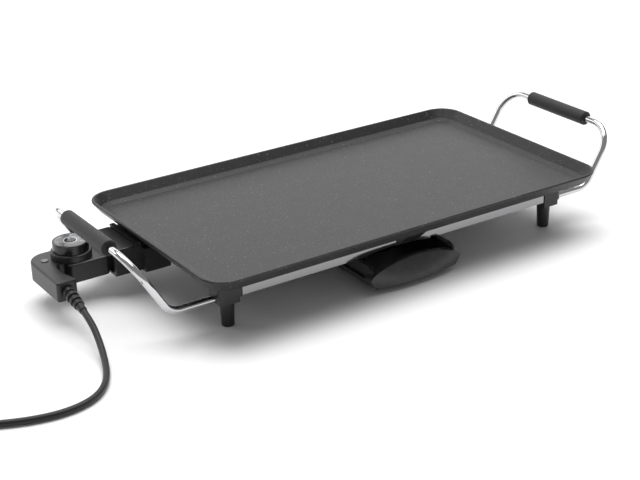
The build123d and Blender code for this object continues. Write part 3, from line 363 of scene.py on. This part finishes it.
coil_steps = round(COIL_TURNS * POINTS_PER_TURN)
coil_route = [coil_point(COIL_TURNS * step / coil_steps) for step in range(coil_steps + 1)]
route = LEAD_ROUTE + coil_route + TAIL_ROUTE

cord_curve = bpy.data.curves.new("mains_lead", "CURVE")
cord_curve.dimensions = "3D"
cord_curve.bevel_depth = CORD_DIAMETER / 2
cord_curve.bevel_resolution = 6
cord_curve.resolution_u = 12
cord_line = cord_curve.splines.new("NURBS")
cord_line.points.add(len(route) - 1)
for point, place in zip(cord_line.points, route):
    point.co = (*place, 1)
cord_line.order_u = 3
cord_line.use_endpoint_u = True
cord = bpy.data.objects.new("mains_lead", cord_curve)
bpy.context.collection.objects.link(cord)
cord_curve.materials.append(cord_look.material)
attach(cord, "control")
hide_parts("cord_lead", "cord_coil", "cord_tail")

# ------------------------------------------------------------------ dial marks

dial_low, dial_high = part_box("dial_disc")
dial_x = (dial_low[0] + dial_high[0]) / 2
dial_y = (dial_low[1] + dial_high[1]) / 2
dial_top = dial_high[2]
MARK_HEIGHT = 0.04 * MM
NUMBER_RADIUS = 11.2 * MM
NUMBER_SIZE = 4.2 * MM
HIGHEST_NUMBER = 5
TICK_RADIUS = 14.2 * MM
TICK_INSET = 0.6 * MM
TICK_LENGTH = 1.0 * MM
TICK_WIDTH = 0.28 * MM
TICK_COUNT = 25
POINTER_START = 0.8 * MM
POINTER_LENGTH = 3.4 * MM
POINTER_WIDTH = 0.7 * MM
DIAL_SWEEP = 270
DIAL_RINGS = [(6.0 * MM, 6.9 * MM), (8.3 * MM, 8.6 * MM)]
RING_STEPS = 96
print_look = Look("dial_print", (0.62, 0.64, 0.66), 0.35)
wear = print_look.noise(0.6 * MM, 3)
print_look.color(print_look.mix(wear, (0.50, 0.52, 0.54), (0.72, 0.74, 0.76)))


def dial_angle(share):
    """Angle on the dial for a share of its scale, clockwise from the lowest setting."""
    return radians(90 + DIAL_SWEEP / 2) - radians(DIAL_SWEEP) * share


def dial_numbers(count):
    """Raised prints of the setting numbers round the dial, tops outwards."""
    for number in range(count + 1):
        text = bpy.data.curves.new(f"dial_number_{number}", "FONT")
        text.body = str(number)
        text.size = NUMBER_SIZE
        text.extrude = MARK_HEIGHT / 2
        text.align_x = "CENTER"
        text.align_y = "CENTER"
        text.materials.append(print_look.material)
        piece = bpy.data.objects.new(text.name, text)
        angle = dial_angle(number / count)
        piece.location = (
            dial_x + NUMBER_RADIUS * cos(angle),
            dial_y + NUMBER_RADIUS * sin(angle),
            dial_top + MARK_HEIGHT / 2,
        )
        piece.rotation_euler = (0, 0, angle - pi / 2)
        bpy.context.collection.objects.link(piece)
        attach(piece, "dial")


def bar(corners, start, length, width, angle, z, height):
    """Adds the eight corners of a thin radial bar, at an angle about the dial's centre."""
    along = Vector((cos(angle), sin(angle), 0))
    across = Vector((-sin(angle), cos(angle), 0))
    middle = Vector((dial_x, dial_y, z))
    end = start + length
    for up in (0, height):
        rise = Vector((0, 0, up))
        for reach, side in ((start, -1), (start, 1), (end, 1), (end, -1)):
            corners.append(middle + along * reach + across * side * width / 2 + rise)


def ring(corners, faces, inner, outer):
    """Adds a thin flat ring between two radii about the dial's centre."""
    first = len(corners)
    for step in range(RING_STEPS):
        angle = tau * step / RING_STEPS
        for radius in (inner, outer):
            x = dial_x + radius * cos(angle)
            y = dial_y + radius * sin(angle)
            flat = Vector((x, y, dial_top))
            corners += [flat, flat + Vector((0, 0, MARK_HEIGHT))]
    for step in range(RING_STEPS):
        here = first + 4 * step
        after = first + 4 * ((step + 1) % RING_STEPS)
        for low, high in ((1, 3), (3, 2), (2, 0), (0, 1)):
            faces.append((here + low, here + high, after + high, after + low))


BAR_SIDES = (
    (0, 3, 2, 1),
    (4, 5, 6, 7),
    (0, 1, 5, 4),
    (1, 2, 6, 5),
    (2, 3, 7, 6),
    (3, 0, 4, 7),
)


def dial_ticks():
    """Radial marks at the dial's edge, a pointer bar on its centre cap, and its rings."""
    corners = []
    start = TICK_RADIUS - TICK_INSET
    for tick in range(TICK_COUNT):
        angle = dial_angle(tick / (TICK_COUNT - 1))
        bar(corners, start, TICK_LENGTH, TICK_WIDTH, angle, dial_top, MARK_HEIGHT)
    cap_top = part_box("dial_cap")[1][2]
    bar(corners, POINTER_START, POINTER_LENGTH, POINTER_WIDTH, pi / 2, cap_top, MARK_HEIGHT)
    faces = []
    for first in range(0, len(corners), 8):
        faces += [tuple(first + corner for corner in side) for side in BAR_SIDES]
    for inner, outer in DIAL_RINGS:
        ring(corners, faces, inner, outer)
    mesh = bpy.data.meshes.new("dial_ticks")
    mesh.from_pydata(corners, [], faces)
    mesh.materials.append(print_look.material)
    piece = bpy.data.objects.new("dial_ticks", mesh)
    bpy.context.collection.objects.link(piece)
    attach(piece, "dial")


dial_numbers(HIGHEST_NUMBER)
dial_ticks()

# ------------------------------------------------------------------ stage and light

FLOOR_SIZE = 14.0
FLOOR_DROP = 0.2 * MM  # keeps the floor just clear of what stands on it
SKY_STRENGTH = 0.3

floor_mesh = bpy.data.meshes.new("floor")
half = FLOOR_SIZE / 2
floor_mesh.from_pydata(
    [(-half, -half, 0), (half, -half, 0), (half, half, 0), (-half, half, 0)],
    [],
    [(0, 1, 2, 3)],
)
floor = bpy.data.objects.new("floor", floor_mesh)
floor.location = (0, 0, -FLOOR_DROP)
floor_look = Look("floor_paper", (0.92, 0.92, 0.92), 0.9, specular=0.1)
floor_mesh.materials.append(floor_look.material)
bpy.context.collection.objects.link(floor)

world = bpy.data.worlds.new("studio")
bpy.context.scene.world = world
world.use_nodes = True
sky = world.node_tree.nodes["Background"]
sky.inputs["Color"].default_value = (1, 1, 1, 1)
sky.inputs["Strength"].default_value = SKY_STRENGTH


def softbox(name, place, target, width, height, power):
    """Rectangular area light at place, facing target."""
    data = bpy.data.lights.new(name, "AREA")
    data.shape = "RECTANGLE"
    data.size = width
    data.size_y = height
    data.energy = power
    light = bpy.data.objects.new(name, data)
    light.location = place
    toward = Vector(target) - Vector(place)
    light.rotation_euler = toward.to_track_quat("-Z", "Y").to_euler()
    bpy.context.collection.objects.link(light)


softbox("top_box", (0.2, 0.3, 2.2), (0, 0, 0), 2.6, 1.8, 66)
softbox("back_box", (1.5, 2.3, 1.25), (0, 0, 0.05), 3.6, 1.7, 24)
softbox("left_box", (-1.3, 2.0, 1.1), (-0.2, 0, 0.05), 1.8, 1.2, 12)
